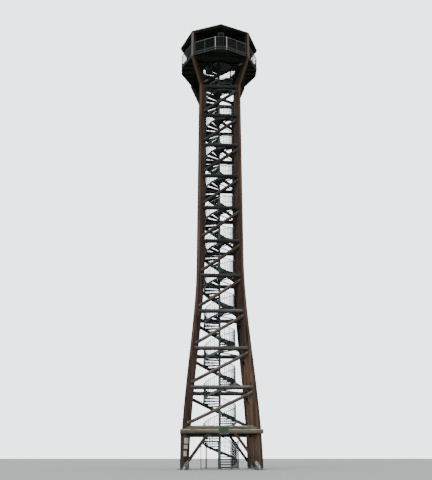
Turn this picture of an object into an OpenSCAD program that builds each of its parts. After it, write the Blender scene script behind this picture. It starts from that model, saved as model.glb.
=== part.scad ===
// Fire lookout tower: four curved laminated timber legs, ring beams and diagonals,
// a steel spiral stair round a newel, and an octagonal lookout under a low roof.
// Millimetres, +Z up, -Y is the front. The origin is on the ground under the newel.

/* [Tower] */
// Height of one bracing stage
stage_h = 2800; // [2600:50:3000]
// Bracing rings above the base ring
rings = 10; // [8:1:10]
// Plan radius of the legs' outer face on the ground
foot_r = 3840; // [3600:20:4100]
// Plan radius of the legs' outer face at the top ring
shaft_r_top = 2340; // [2300:10:2500]
// How much wider the straight shaft gets per metre downwards
shaft_taper = 4.5; // [0:0.5:8]
// Height over which the legs flare out at the base
flare_h = 15400; // [12000:200:18000]

/* [Legs] */
// Thickness of a leg, across its radius
leg_t = 260; // [220:10:300]
// Depth of a leg, along its radius
leg_d = 600; // [520:10:660]
// Depth of a leg where it carries on as a roof post
post_d = 300; // [240:10:360]
// Height of the steel shoe under a leg
shoe_h = 140; // [100:10:200]
// Steel plate thickness of shoes and brackets
plate_t = 20; // [12:1:30]
// Height of the shoes' side cheeks
cheek_h = 520; // [400:20:700]
// Side of a shoe's square base plate
foot_plate_w = 720; // [700:10:800]
// Distance of the anchor holes from the plate's middle lines
foot_bolt = 290; // [280:5:300]
// Diameter of the anchor holes
foot_hole_d = 28; // [22:1:34]

/* [Bracing] */
// Thickness of ring beams, square to the face
beam_t = 160; // [120:10:200]
// Height of ring beams
beam_h = 280; // [220:10:320]
// How far the beams' centre plane is behind the legs' outer face
beam_back = 170; // [150:10:200]
// Thickness of diagonals, square to the face
diag_t = 140; // [100:10:160]
// Height of diagonals, square to their length
diag_h = 230; // [180:10:260]
// Space between a diagonal's end and the beam next to it
diag_gap = 40; // [20:5:120]
// Height of the steel angles that hold the beams' ends
angle_h = 240; // [180:10:260]
// Length of the angles along the beams
angle_l = 200; // [140:10:240]

/* [Base] */
// Height of the base ring's upper beams
base_upper_h = 550; // [500:10:640]
// Height of the base ring's outer beams
base_outer_h = 270; // [240:10:320]
// How far the outer beams' top is below the upper beams' top
base_outer_drop = 180; // [150:10:300]
// Thickness of the outer beams
base_outer_t = 200; // [160:10:220]
// Space between the upper beams and the outer beams
base_outer_gap = 50; // [20:5:100]
// Where a knee brace meets the outer beam, from the face's middle
knee_x = 910; // [850:10:1200]
// Height of knee braces, square to their length
knee_h = 190; // [160:10:220]
// Thickness of knee braces
knee_t = 150; // [120:10:180]
// Length of a knee brace's steel shoe
knee_shoe_l = 520; // [400:20:600]
// Thickness of the metal flashing on the upper beams
flashing_t = 65; // [20:5:80]

/* [Stair] */
// Outer diameter of the newel tube
newel_d = 168; // [140:2:190]
// Wall of the newel tube
newel_wall = 8; // [5:1:12]
// Diameter of the newel's base flange
flange_d = 460; // [380:10:520]
// Thickness of the flange
flange_t = 25; // [16:1:40]
// Radius of the flange's bolt circle
flange_bolt_r = 180; // [150:5:200]
// Diameter of the flange's bolt holes
flange_hole_d = 26; // [20:1:30]
// Risers in one full turn, which climbs one stage
turn_risers = 16; // [14:1:18]
// Direction of the first tread, from +X towards +Y
turn_start = -45; // [-60:1:-40]
// Distance from the centre to the treads' outer edge
tread_r = 1210; // [1150:10:1250]
// Height of a tread's tray
tread_t = 45; // [40:5:80]
// Height of the rail above a tread
rail_h = 1100; // [1000:10:1150]
// Thickness of the rails and balusters
rail_t = 34; // [24:1:45]
// Thickness of the outer string
string_t = 10; // [6:1:14]
// Height of the outer string
string_h = 190; // [160:10:240]
// Radius of the cage's posts round the stair's start
cage_r = 1350; // [1300:10:1450]
// Height of the cage
cage_h = 1950; // [1800:10:2100]
// Diameter of the cage's posts
cage_post_d = 50; // [40:2:60]
// Thickness of the cage's panel frames
cage_panel_t = 24; // [16:2:36]
// Diameter of the ties from the newel to the legs
tie_d = 90; // [60:5:110]

/* [Lookout] */
// Plan radius of the deck's corners at the legs
deck_r = 3380; // [3300:10:3450]
// How much each free corner of the deck is cut back
corner_cut = 40; // [20:5:100]
// Half the length of a short side
short_half = 510; // [450:10:600]
// Thickness of the deck boards
deck_t = 50; // [40:5:60]
// Height of joists and rim beams under the boards
joist_h = 180; // [160:10:220]
// Thickness of joists
joist_t = 80; // [60:5:100]
// Spacing of the joists
joist_step = 640; // [560:20:720]
// Inner radius of the hatch over the stair
hatch_r = 1420; // [1380:10:1450]
// Wall of the steel ring round the hatch
hatch_wall = 60; // [40:5:80]
// Height of the guard rail above the boards
guard_h = 1040; // [1000:10:1150]
// Thickness of guard rail bars
guard_t = 50; // [40:2:60]
// Height of the toe boards round the deck
toe_h = 120; // [80:10:160]
// Width of the locker at the front short side
locker_w = 500; // [450:10:700]
// Height of the locker
locker_h = 1480; // [1400:10:1700]
// Depth of the locker
locker_d = 120; // [80:10:200]

/* [Roof] */
// Height of the eaves above the deck boards
eave_h = 2200; // [2100:20:2400]
// How far the roof's corners stand out past the deck's
roof_over = 80; // [60:5:200]
// Slope of the roof in degrees
roof_pitch = 22; // [15:1:28]
// Thickness of the roof sheets and boarding
roof_t = 60; // [40:5:90]
// Height of eave beams and rafters
eave_beam_h = 180; // [140:10:220]
// Thickness of eave beams
eave_beam_t = 120; // [80:10:140]
// Thickness of the hip rafters
rafter_t = 100; // [80:10:120]
// Radius of the hub that the hip rafters meet
hub_r = 190; // [160:10:240]
// Height of the hub
hub_h = 400; // [320:20:440]
// Width of the caps on the hips
hip_cap_w = 120; // [90:10:160]
// Radius of the cap on the roof's tip
tip_cap_r = 300; // [270:10:400]

/* [Plates] */
// Width of the blank board on the front outer beam
board_w = 680; // [500:20:800]
// Height of the blank board
board_h = 520; // [440:20:600]
// Width of the widest blank plate on the front left leg
leg_plate_w = 400; // [300:10:420]

/* [Hidden] */

// Heights that follow from the stages
base_z = stage_h;
top_ring_z = stage_h * (rings + 1);
deck_z = stage_h * (rings + 2) - stage_h / turn_risers;
deck_under_z = deck_z - deck_t - joist_h;
splay_z = deck_under_z - 100;
eave_z = deck_z + eave_h;
post_top_z = eave_z - 50;
roof_top_z = eave_z + 2000;
outer_top_z = base_z - base_outer_drop;
outer_bottom_z = outer_top_z - base_outer_h;
head_r = deck_r + 30;
roof_r = deck_r + roof_over;
short_side_y = deck_r - corner_cut;

// Stair values
riser = stage_h / turn_risers;
step_angle = 360 / turn_risers;
last_tread = turn_risers * (rings + 2) - 2;
middle_tread = floor(last_tread / 2);
landing_from = turn_start + (last_tread - 0.5) * step_angle - 360 * (rings + 1);
tread_half = tread_r * tan(step_angle / 2);
tread_root = 70;
nosing = 12;
string_drop = 70;

// Corner directions of the octagon: legs stand at 45, 135, 225 and 315 degrees
leg_angles = [225, 315, 135, 45];
free_angles = [0, 90, 180, 270];
side_dist = deck_r * cos(22.5);
// Each long side of the deck runs from a short side's end to a leg
leg_corner = deck_r / sqrt(2);
long_turn = atan((short_side_y - leg_corner) / (leg_corner - short_half));
long_dist = short_side_y * cos(long_turn) + short_half * sin(long_turn);
long_len = norm([short_side_y - leg_corner, leg_corner - short_half]);
guard_mitre = guard_t * tan(long_turn / 2) + 1;
guard_full = guard_h + deck_t + joist_h;
roof_apothem = roof_r * cos(22.5);
hip_slope = atan(cos(22.5) * tan(roof_pitch));
fit_gap = 1;
far = 6000;
timber = [0.42, 0.27, 0.19];
timber_grey = [0.5, 0.46, 0.41];
zinc = [0.6, 0.66, 0.67];
dark = [0.16, 0.18, 0.17];

// Plan radius of a leg's outer face at a height
function flare_part(u) = u <= 0 ? 0 : u * u * (3 - 2 * u);
function shaft_r(z) = shaft_r_top + shaft_taper * (top_ring_z - z) / 1000
    + (foot_r - shaft_r_top - shaft_taper * top_ring_z / 1000) * flare_part(1 - z / flare_h);
function leg_r(z) = z <= top_ring_z ? shaft_r(z)
    : z < splay_z ? shaft_r_top + (head_r - shaft_r_top) * (z - top_ring_z) / (splay_z - top_ring_z)
    : head_r;
function leg_depth(z) = z <= top_ring_z ? leg_d
    : z < splay_z ? leg_d + (post_d - leg_d) * (z - top_ring_z) / (splay_z - top_ring_z)
    : post_d;
// Distance of a face's beams from the tower's axis
function face_y(z) = (leg_r(z) - beam_back) / sqrt(2);
// Half the clear width between two legs in that plane
function face_half(z) = face_y(z) - leg_t / sqrt(2);
// Half the length of the base's outer beams, and where the knee braces stand
base_outer_half = face_y(base_z - base_upper_h / 2) + beam_t / 2 + base_outer_gap + base_outer_t;
knee_y = base_outer_half - base_outer_t / 2;
knee_foot_x = knee_y - leg_t / sqrt(2);

// Straight bar of t by h between two points, h lying in the vertical plane of its length
module bar(a, b, t, h) {
    d = b - a;
    len = norm(d);
    translate(a) rotate([0, -asin(d[2] / len), atan2(d[1], d[0])])
        translate([0, -t / 2, -h / 2]) cube([len, t, h]);
}

// Legs
module leg_shape(angle, from_z = shoe_h) {
    step = stage_h / 4;
    shaft = [for (z = [ceil(from_z / step + 0.01) * step : step : top_ring_z]) z];
    heights = concat([from_z], shaft, [splay_z, post_top_z]);
    outer = [for (z = heights) [leg_r(z), z]];
    inner = [for (i = [len(heights) - 1 : -1 : 0])
        [leg_r(heights[i]) - leg_depth(heights[i]), heights[i]]];
    rotate([0, 0, angle]) rotate([90, 0, 0]) translate([0, 0, -leg_t / 2])
        linear_extrude(leg_t) polygon(concat(outer, inner));
}
module all_legs() {
    for (a = leg_angles) leg_shape(a, 0);
}
module leg(angle) {
    color(timber) leg_shape(angle);
}
module leg_shoes() {
    centre = foot_r - leg_d / 2;
    end_in = 30;
    cheek_l = leg_d - 200;
    color(zinc) for (a = leg_angles) rotate([0, 0, a]) translate([centre, 0, 0]) difference() {
        union() {
            translate([-foot_plate_w / 2, -foot_plate_w / 2, 0])
                cube([foot_plate_w, foot_plate_w, plate_t]);
            for (x = [end_in - leg_d / 2, leg_d / 2 - end_in - plate_t])
                translate([x, -leg_t / 2, 0]) cube([plate_t, leg_t, shoe_h]);
            translate([-leg_d / 2, -leg_t / 2, shoe_h - plate_t]) cube([leg_d, leg_t, plate_t]);
            for (y = [-leg_t / 2 - plate_t, leg_t / 2])
                translate([-cheek_l / 2, y, 0]) cube([cheek_l, plate_t, cheek_h]);
        }
        for (x = [-foot_bolt, foot_bolt]) for (y = [-foot_bolt, foot_bolt])
            translate([x, y, -1]) cylinder(d = foot_hole_d, h = plate_t + 2, $fn = 32);
    }
}

// Base
// The space between two legs' inner sides, seen from the axis, for cutting beam ends flush
module bay(clear = 0) {
    c = (leg_t / 2 + clear) * sqrt(2);
    linear_extrude(roof_top_z) polygon([[0, -c], [-far, -far - c], [far, -far - c]]);
}
module base_outer_beams() {
    inner = base_outer_half - base_outer_t;
    color(timber_grey) for (s = [-1, 1]) difference() {
        union() {
            translate([-base_outer_half, s > 0 ? inner : -base_outer_half, outer_bottom_z])
                cube([2 * base_outer_half, base_outer_t, base_outer_h]);
            translate([s > 0 ? inner : -base_outer_half, fit_gap - inner, outer_bottom_z])
                cube([base_outer_t, 2 * (inner - fit_gap), base_outer_h]);
        }
        all_legs();
    }
}
module face_beam(top, h) {
    mid = top - h / 2;
    reach = face_y(mid);
    intersection() {
        translate([-reach, -face_y(mid) - beam_t / 2, top - h]) cube([2 * reach, beam_t, h]);
        bay();
    }
}
module base_upper_beams() {
    color(timber_grey) for (a = [0 : 90 : 270]) rotate([0, 0, a]) face_beam(base_z, base_upper_h);
}
module base_flashing() {
    over = 15;
    reach = face_half(base_z) - beam_t / 2 - over;
    color("lightgray") for (a = [0 : 90 : 270]) rotate([0, 0, a])
        translate([-reach, -face_y(base_z - base_upper_h / 2) - beam_t / 2 - over, base_z])
            cube([2 * reach, beam_t + 2 * over, flashing_t]);
}
module knee_brace(s, part) {
    foot = [s * knee_foot_x, -knee_y, shoe_h];
    head = [s * knee_x, -knee_y, outer_bottom_z];
    dir = (head - foot) / norm(head - foot);
    intersection() {
        if (part == "timber") bar(foot + dir * knee_shoe_l, head + dir * knee_h, knee_t, knee_h);
        else bar(foot - dir * knee_h, foot + dir * knee_shoe_l, knee_t - 2 * plate_t, knee_h - plate_t);
        bay(plate_t);
        translate([-foot_r, -foot_r, plate_t]) cube([2 * foot_r, foot_r, outer_bottom_z - plate_t]);
    }
}
module knee_braces() {
    color(timber) for (a = [0 : 90 : 270]) rotate([0, 0, a])
        for (s = [-1, 1]) knee_brace(s, "timber");
}
module knee_shoes() {
    color("lightgray") for (a = [0 : 90 : 270]) rotate([0, 0, a])
        for (s = [-1, 1]) knee_brace(s, "steel");
}

// Bracing
module ring_beams() {
    color(timber_grey) for (k = [1 : rings]) for (a = [0 : 90 : 270])
        rotate([0, 0, a]) face_beam(stage_h * (k + 1), beam_h);
}
// The part of a slab that lies along the leg on one side of a face
module leg_strip(side, z, h, depth) {
    reach = face_y(z);
    intersection() {
        translate([side > 0 ? 0 : -reach, -reach - beam_t / 2, z]) cube([reach, beam_t, h]);
        difference() {
            bay();
            bay(depth);
        }
    }
}
// Angles stand under a beam's left end and on its right end, clear of the diagonals
module joint_angles() {
    color(zinc) for (k = [1 : rings]) for (a = [0 : 90 : 270]) rotate([0, 0, a]) {
        leg_strip(-1, stage_h * (k + 1) - beam_h - plate_t, plate_t, angle_l);
        leg_strip(-1, stage_h * (k + 1) - beam_h - angle_h, angle_h, plate_t);
        leg_strip(1, stage_h * (k + 1), plate_t, angle_l);
        leg_strip(1, stage_h * (k + 1), angle_h, plate_t);
    }
}
module diagonal(k) {
    end_drop = diag_gap + diag_h * 0.55;
    low = stage_h * k + end_drop;
    high = min(stage_h * (k + 1), deck_under_z) - beam_h - end_drop;
    a = [-face_half(low) - leg_t / 2, -face_y(low), low];
    b = [face_half(high) + leg_t / 2, -face_y(high), high];
    intersection() {
        bar(a, b, diag_t, diag_h);
        bay();
    }
}
module diagonals(angle) {
    color(timber) for (k = [1 : rings + 1]) rotate([0, 0, angle]) diagonal(k);
}

// Stair
module newel() {
    color(zinc) difference() {
        union() {
            cylinder(d = flange_d, h = flange_t, $fn = 64);
            cylinder(d = newel_d, h = deck_z + guard_h, $fn = 48);
        }
        translate([0, 0, flange_t]) cylinder(d = newel_d - 2 * newel_wall, h = deck_z, $fn = 48);
        for (a = [45 : 90 : 315]) rotate([0, 0, a]) translate([flange_bolt_r, 0, -1])
            cylinder(d = flange_hole_d, h = flange_t + 2, $fn = 32);
    }
}
// One step stands along +X, its top at height 0
module tread() {
    difference() {
        translate([0, 0, -tread_t]) linear_extrude(tread_t)
            polygon([[0, -tread_root], [tread_r, -tread_half - nosing], [tread_r, tread_half - fit_gap],
                [0, tread_root]]);
        translate([0, 0, -tread_t - 1]) cylinder(d = newel_d, h = tread_t + 2, $fn = 48);
    }
}
// A slanted band that follows the climb, between two heights over a step
module slanted_band(x, t, low, high) {
    w = (x * tan(step_angle / 2)) - fit_gap;
    rise = riser / 2;
    translate([x, 0, 0]) rotate([90, 0, 90]) linear_extrude(t)
        polygon([[-w, low - rise], [w, low + rise], [w, high + rise], [-w, high - rise]]);
}
module step_at(n) {
    translate([0, 0, n * riser]) rotate([0, 0, (n - 1) * step_angle + turn_start]) children();
}
module treads(from, to) {
    color(zinc) for (n = [from : to]) step_at(n) tread();
}
module string(from, to) {
    color(zinc) for (n = [from : to]) step_at(n)
        slanted_band(tread_r, string_t, -tread_t - string_drop, string_h - tread_t - string_drop);
}
module stair_rail(from, to) {
    x = tread_r - rail_t - 15;
    color(zinc) for (n = [from : to]) step_at(n) {
        slanted_band(x, rail_t, rail_h - rail_t, rail_h);
        translate([x, -rail_t / 2, 0]) cube([rail_t, rail_t, rail_h - rail_t / 2]);
    }
}
module stair_ties() {
    color(zinc) for (k = [1 : rings + 1]) for (a = [45, 315])
        tie(a, stage_h * k - (riser + tread_t) / 2);
}
module tie(angle, z) {
    difference() {
        rotate([0, 0, angle]) translate([0, 0, z]) rotate([0, 90, 0])
            cylinder(d = tie_d, h = leg_r(z) - leg_d / 2, $fn = 24);
        translate([0, 0, z - tie_d]) cylinder(d = newel_d, h = 2 * tie_d, $fn = 48);
        leg_shape(angle, 0);
    }
}

// Cage round the stair's start, held by the string at its two end posts
module stair_cage() {
    arm_w = 30;
    arm_h = 40;
    color(zinc) for (a = [0 : 45 : 180]) rotate([0, 0, a]) {
        translate([cage_r, 0, 0]) cylinder(d = cage_post_d, h = cage_h, $fn = 24);
        if (a == 0 || a == 180)
            translate([0, 0, riser * ((a - turn_start) / step_angle + 1) - tread_t]) difference() {
                translate([tread_r + string_t, -arm_w / 2, 0])
                    cube([cage_r - tread_r - string_t, arm_w, arm_h]);
                translate([cage_r, 0, -1]) cylinder(d = cage_post_d - 2, h = arm_h + 2, $fn = 24);
            }
    }
}
module cage_panels() {
    length = 2 * cage_r * sin(22.5) - cage_post_d;
    frame = 40;
    low = 60;
    color(zinc) for (a = [22.5 : 45 : 157.5]) rotate([0, 0, a])
        translate([cage_r * cos(22.5) - cage_panel_t / 2, -length / 2, low]) difference() {
            cube([cage_panel_t, length, cage_h - 2 * low]);
            translate([-1, frame, frame])
                cube([cage_panel_t + 2, length - 2 * frame, cage_h - 2 * low - 2 * frame]);
        }
}

// Lookout
// Ends of the deck's short sides, and its corners at the legs, when its outline is drawn in
function short_end(in) = (long_dist - in - (short_side_y - in) * cos(long_turn)) / sin(long_turn);
function corner_at(in) = (long_dist - in) / (cos(long_turn) + sin(long_turn));
function spun(p, a) = [p[0] * cos(a) - p[1] * sin(a), p[0] * sin(a) + p[1] * cos(a)];
module deck_plan(in, h) {
    side = short_side_y - in;
    corners = [[side, -short_end(in)], [side, short_end(in)], [corner_at(in), corner_at(in)]];
    linear_extrude(h) polygon([for (a = free_angles) for (p = corners) spun(p, a)]);
}
// The twelve sides of a ring that follows the deck's outline between two insets
module deck_sides(outer, inner, h) {
    ends = [short_end(outer), short_end(inner)];
    for (a = free_angles) rotate([0, 0, a]) {
        linear_extrude(h) polygon([[short_side_y - outer, -ends[0] + fit_gap],
            [short_side_y - outer, ends[0] - fit_gap], [short_side_y - inner, ends[1] - fit_gap],
            [short_side_y - inner, -ends[1] + fit_gap]]);
        for (m = [0, 1]) mirror([0, m, 0]) linear_extrude(h)
            polygon([[short_side_y - outer, ends[0]], [corner_at(outer), corner_at(outer)],
                [corner_at(inner), corner_at(inner)], [short_side_y - inner, ends[1]]]);
    }
}
// One side of an octagonal ring with mitred ends
module octagon_side(inner, outer, h) {
    wi = inner * tan(22.5) - fit_gap;
    wo = outer * tan(22.5) - fit_gap;
    linear_extrude(h) polygon([[inner, -wi], [outer, -wo], [outer, wo], [inner, wi]]);
}
module deck_girders() {
    color(timber) for (a = [0 : 90 : 270]) rotate([0, 0, a])
        face_beam(deck_under_z, beam_h);
}
module deck_rim_beams() {
    color(timber) difference() {
        translate([0, 0, deck_under_z]) deck_sides(guard_t, guard_t + joist_t, joist_h);
        all_legs();
    }
}
module deck_joists() {
    color(timber) difference() {
        intersection() {
            for (i = [-4 : 4]) translate([-deck_r, i * joist_step - joist_t / 2, deck_under_z])
                cube([2 * deck_r, joist_t, joist_h]);
            translate([0, 0, deck_under_z]) deck_plan(guard_t + joist_t, joist_h);
        }
        translate([0, 0, deck_under_z - 1]) cylinder(r = hatch_r + hatch_wall, h = joist_h + 2, $fn = 180);
        all_legs();
    }
}
module deck_boards() {
    color(timber_grey) difference() {
        translate([0, 0, deck_z - deck_t]) deck_plan(guard_t, deck_t);
        translate([0, 0, deck_z - deck_t - 1]) cylinder(r = hatch_r + hatch_wall, h = deck_t + 2, $fn = 180);
        all_legs();
    }
}
module toe_boards() {
    color(zinc) difference() {
        translate([0, 0, deck_z]) deck_sides(guard_t, guard_t + 8, toe_h);
        all_legs();
    }
}
module hatch_ring() {
    color(zinc) difference() {
        translate([0, 0, deck_under_z])
            cylinder(r = hatch_r + hatch_wall, h = joist_h + deck_t, $fn = 180);
        translate([0, 0, deck_under_z - 1]) cylinder(r = hatch_r, h = joist_h + deck_t + 2, $fn = 180);
    }
}
module hatch_landing() {
    turns = [landing_from, (landing_from + 360) / 2, 360];
    color(zinc) translate([0, 0, deck_z - deck_t]) difference() {
        intersection() {
            cylinder(r = hatch_r, h = deck_t, $fn = 180);
            linear_extrude(deck_t)
                polygon(concat([[0, 0]], [for (a = turns) spun([2 * hatch_r, 0], a)]));
        }
        translate([0, 0, -1]) cylinder(d = newel_d, h = deck_t + 2, $fn = 48);
    }
}
// Flat guard frame of a length, standing on height 0 along Y
module guard_frame(length, height, posts) {
    for (z = [0, height - guard_t]) translate([0, 0, z]) cube([guard_t, length, guard_t]);
    for (y = posts) translate([0, y - guard_t / 2, 0]) cube([guard_t, guard_t, height]);
}
module hatch_guard() {
    d = hatch_r + 15;
    w = d * tan(22.5) - fit_gap;
    radial = hatch_r - newel_d / 2;
    color(zinc) {
        for (a = [22.5 : 45 : 247.5]) rotate([0, 0, a]) translate([d, -w, deck_z])
            guard_frame(2 * w, guard_h, [guard_t / 2, 2 * w - guard_t / 2]);
        rotate([0, 0, -90]) translate([5, newel_d / 2 + 20, deck_z])
            guard_frame(radial, guard_h, [guard_t / 2, radial - guard_t / 2]);
    }
}
// Guards hang on the rim beams, from the joists' underside up to the top rail
module guard_panels() {
    leg_end = 190;
    length = long_len - guard_mitre - leg_end;
    color(zinc) for (a = free_angles) rotate([0, 0, a]) for (m = [0, 1]) mirror([0, m, 0])
        translate([short_side_y, short_half, deck_under_z]) rotate([0, 0, long_turn])
            translate([-guard_t, guard_mitre, 0])
                guard_frame(length, guard_full, [guard_t / 2, length / 2, length - guard_t / 2]);
}
module corner_guards() {
    half = short_half - guard_mitre;
    color(zinc) for (a = free_angles) rotate([0, 0, a])
        translate([short_side_y - guard_t, -half, deck_under_z])
            guard_frame(2 * half, guard_full, [guard_t / 2, 2 * half - guard_t / 2]);
}
module corner_locker() {
    color(dark) translate([-locker_w / 2, guard_t + 20 - short_side_y, deck_z])
        cube([locker_w, locker_d, locker_h]);
}

// Roof
// Height of the sheets' underside at a distance from the axis, square to an eave
function roof_under(d) = eave_z + (side_dist - d) * tan(roof_pitch);
function hip_under(r) = roof_under(r * cos(22.5));
module eave_beams() {
    color(timber) for (a = [22.5 : 45 : 337.5]) difference() {
        rotate([0, 0, a]) translate([0, 0, eave_z - eave_beam_h])
            octagon_side(side_dist - eave_beam_t, side_dist, eave_beam_h);
        all_legs();
    }
}
module roof_sheets() {
    len = roof_apothem / cos(roof_pitch);
    w = roof_apothem * tan(22.5);
    top = 0.06;
    gap = 12;
    color(dark) for (a = [22.5 : 45 : 337.5]) rotate([0, 0, a])
        translate([roof_apothem, 0, roof_under(roof_apothem)]) rotate([0, roof_pitch, 0])
            translate([-len, 0, 0]) linear_extrude(roof_t) polygon([[len * top, -w * top + gap],
                [len, -w + gap], [len, w - gap], [len * top, w * top - gap]]);
}
module hip_rafters() {
    drop = rafter_t / 2 * sin(22.5) * tan(roof_pitch);
    ends = [hub_r / 2, (side_dist - eave_beam_t) / cos(22.5)];
    mid = [for (r = ends) [r, 0, hip_under(r) - drop - eave_beam_h / 2 / cos(hip_slope)]];
    color(timber) for (a = [0 : 45 : 315]) difference() {
        rotate([0, 0, a]) bar(mid[0], mid[1], rafter_t, eave_beam_h);
        translate([0, 0, eave_z]) cylinder(r = hub_r, h = roof_top_z - eave_z, $fn = 48);
        all_legs();
    }
}
module roof_hub() {
    below = hub_r * tan(roof_pitch) + fit_gap;
    color(timber) translate([0, 0, hip_under(0) - below - hub_h]) cylinder(r = hub_r, h = hub_h, $fn = 48);
}
module hip_caps() {
    cap_t = 16;
    top_r = 260;
    end_r = roof_r - 20;
    up = roof_t / cos(roof_pitch) + cap_t / 2 / cos(hip_slope);
    color(dark) for (a = [0 : 45 : 315]) rotate([0, 0, a])
        bar([top_r, 0, hip_under(top_r) + up], [end_r, 0, hip_under(end_r) + up], hip_cap_w, cap_t);
}
module roof_cap() {
    color(dark) translate([0, 0, hip_under(tip_cap_r) + roof_t])
        cylinder(r1 = tip_cap_r, r2 = 40, h = 200, $fn = 8);
}

// Plates
module name_board() {
    board_t = 12;
    left = -210;
    color(zinc) translate([left, -base_outer_half - board_t, outer_bottom_z - 60])
        cube([board_w, board_t, board_h]);
}
module leg_plates() {
    edge = 40;
    // Height above the ground, width and height of each plate
    sizes = [[1690, leg_plate_w, 370], [1350, leg_plate_w - 40, 260], [880, leg_plate_w - 120, 340]];
    color("white") rotate([0, 0, 225]) for (p = sizes)
        translate([leg_r(p[0]) - edge - p[1], leg_t / 2, p[0]]) cube([p[1], 4, p[2]]);
}

leg(225);  // leg_front_left
leg(315);  // leg_front_right
leg(135);  // leg_rear_left
leg(45);  // leg_rear_right
leg_shoes();
base_outer_beams();
base_upper_beams();
base_flashing();
knee_braces();
knee_shoes();
ring_beams();
joint_angles();
diagonals(0);  // diagonals_front
diagonals(90);  // diagonals_right
diagonals(180);  // diagonals_rear
diagonals(270);  // diagonals_left
newel();
treads(1, middle_tread);  // treads_lower
treads(middle_tread + 1, last_tread);  // treads_upper
string(1, middle_tread);  // string_lower
string(middle_tread + 1, last_tread);  // string_upper
stair_rail(1, middle_tread);  // stair_rail_lower
stair_rail(middle_tread + 1, last_tread);  // stair_rail_upper
stair_ties();
stair_cage();
cage_panels();
deck_girders();
deck_rim_beams();
deck_joists();
deck_boards();
toe_boards();
hatch_ring();
hatch_landing();
hatch_guard();
guard_panels();
corner_guards();
corner_locker();
eave_beams();
hip_rafters();
roof_hub();
roof_sheets();
hip_caps();
roof_cap();
name_board();
leg_plates();
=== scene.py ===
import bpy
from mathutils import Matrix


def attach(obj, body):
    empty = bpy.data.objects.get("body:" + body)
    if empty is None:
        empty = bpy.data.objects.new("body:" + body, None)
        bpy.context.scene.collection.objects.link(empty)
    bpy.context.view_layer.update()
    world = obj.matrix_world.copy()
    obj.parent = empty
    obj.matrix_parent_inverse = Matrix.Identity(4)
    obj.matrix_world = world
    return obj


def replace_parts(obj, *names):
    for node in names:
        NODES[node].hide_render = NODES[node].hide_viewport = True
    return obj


bl_info = {
    "name": "Fire lookout tower dressing",
    "version": (1, 0),
    "blender": (4, 5, 0),
    "location": "View3D > Sidebar > Tower",
    "description": "Adds the fine pieces and the finishes of a timber fire lookout tower to its frame",
    "category": "Object",
}

from math import atan, cos, degrees, hypot, radians, sin, sqrt, tan

import bmesh
import bpy
from bpy.props import FloatProperty, FloatVectorProperty, PointerProperty
from mathutils import Matrix, Vector

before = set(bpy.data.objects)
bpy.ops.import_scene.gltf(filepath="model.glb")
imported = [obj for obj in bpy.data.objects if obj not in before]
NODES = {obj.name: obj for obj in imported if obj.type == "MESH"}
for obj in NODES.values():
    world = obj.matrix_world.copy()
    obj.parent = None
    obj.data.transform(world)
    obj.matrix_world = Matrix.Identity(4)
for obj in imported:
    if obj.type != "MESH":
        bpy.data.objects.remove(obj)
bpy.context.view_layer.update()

# The frame's own measures, in metres
STAGE, RINGS = 2.8, 10
FOOT_R, SHAFT_R, TAPER, FLARE_H = 3.84, 2.34, 0.0045, 15.4
LEG_T, LEG_D, POST_D = 0.26, 0.6, 0.3
BEAM_T, BEAM_H, BEAM_BACK = 0.16, 0.28, 0.17
DIAG_T, DIAG_H, DIAG_GAP = 0.14, 0.23, 0.04
DIAG_DROP = DIAG_GAP + DIAG_H * 0.55
ANGLE_H, PLATE_T = 0.24, 0.02
TOP_RING, DECK_Z, DECK_UNDER, SPLAY = 30.8, 33.425, 33.195, 33.095
WIDEST = FOOT_R - SHAFT_R - TAPER * TOP_RING
HEAD_R, DECK_R, DECK_T = 3.41, 3.38, 0.05
EAVE_Z, ROOF_R, ROOF_PITCH, ROOF_T = 35.625, 3.46, radians(22), 0.06
RISER, STEP, LAST_TREAD, MIDDLE_TREAD = 0.175, radians(360 / 16), 190, 95
TURN_START = radians(-45)
TREAD_R, RAIL_H, RAIL_T, RAIL_INSET = 1.21, 1.1, 0.034, 0.015
NEWEL_R = 0.084
SIDE = radians(22.5)
SIDE_DIST = DECK_R * cos(SIDE)
ROOF_REACH = ROOF_R * cos(SIDE)
ROOF_HALF = ROOF_REACH * tan(SIDE)
HATCH_R, HATCH_WALL, CAGE_R = 1.42, 0.06, 1.35
GUARD_H, GUARD_T, GUARD_STOP = 1.04, 0.05, 0.19
GUARD_TOP = DECK_Z + GUARD_H
# The deck's outline: four short sides, and eight long ones that run from their ends to the legs
SHORT_Y, SHORT_HALF, LEG_CORNER = 3.34, 0.51, DECK_R / sqrt(2)
LONG_TURN = atan((SHORT_Y - LEG_CORNER) / (LEG_CORNER - SHORT_HALF))
LONG_DIST = SHORT_Y * cos(LONG_TURN) + SHORT_HALF * sin(LONG_TURN)
LONG_LEN = hypot(SHORT_Y - LEG_CORNER, LEG_CORNER - SHORT_HALF)
MITRE = GUARD_T * tan(LONG_TURN / 2) + 0.001
BASE_H, OUTER_TOP, OUTER_UNDER, OUTER_HALF, OUTER_T = 0.55, 2.62, 2.35, 2.8479, 0.2
BOARD, BOARD_T = (-0.21, 0.47, 2.29, 2.81), 0.012
LEG_ANGLES, FACE_ANGLES = (225, 315, 135, 45), (0, 90, 180, 270)
# Half the distance between two bolts, in timber and in an end plate, and how far in that plate lies
BOLT_PAIR, PLATE_PAIR, PLATE_ALONG = 0.07, 0.09, 0.42
# Where the blank plates on the front left leg start, and how wide and high they are
LEG_PLATES = ((1.69, 0.4, 0.37), (1.35, 0.36, 0.26), (0.88, 0.28, 0.34))

# The photo's camera: its place, how far it looks up and round in degrees, and its lens in mm
CAMERA_PLACE, LOOK_UP, LOOK_ROUND = (-2.45, -46.28, 0.83), 19.58, -2.7
LENS, SENSOR = 45.75, 36

RIGHT, UP, FRONT = (1, 0, 0), Vector((0, 0, 1)), (0, -1, 0)


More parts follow.
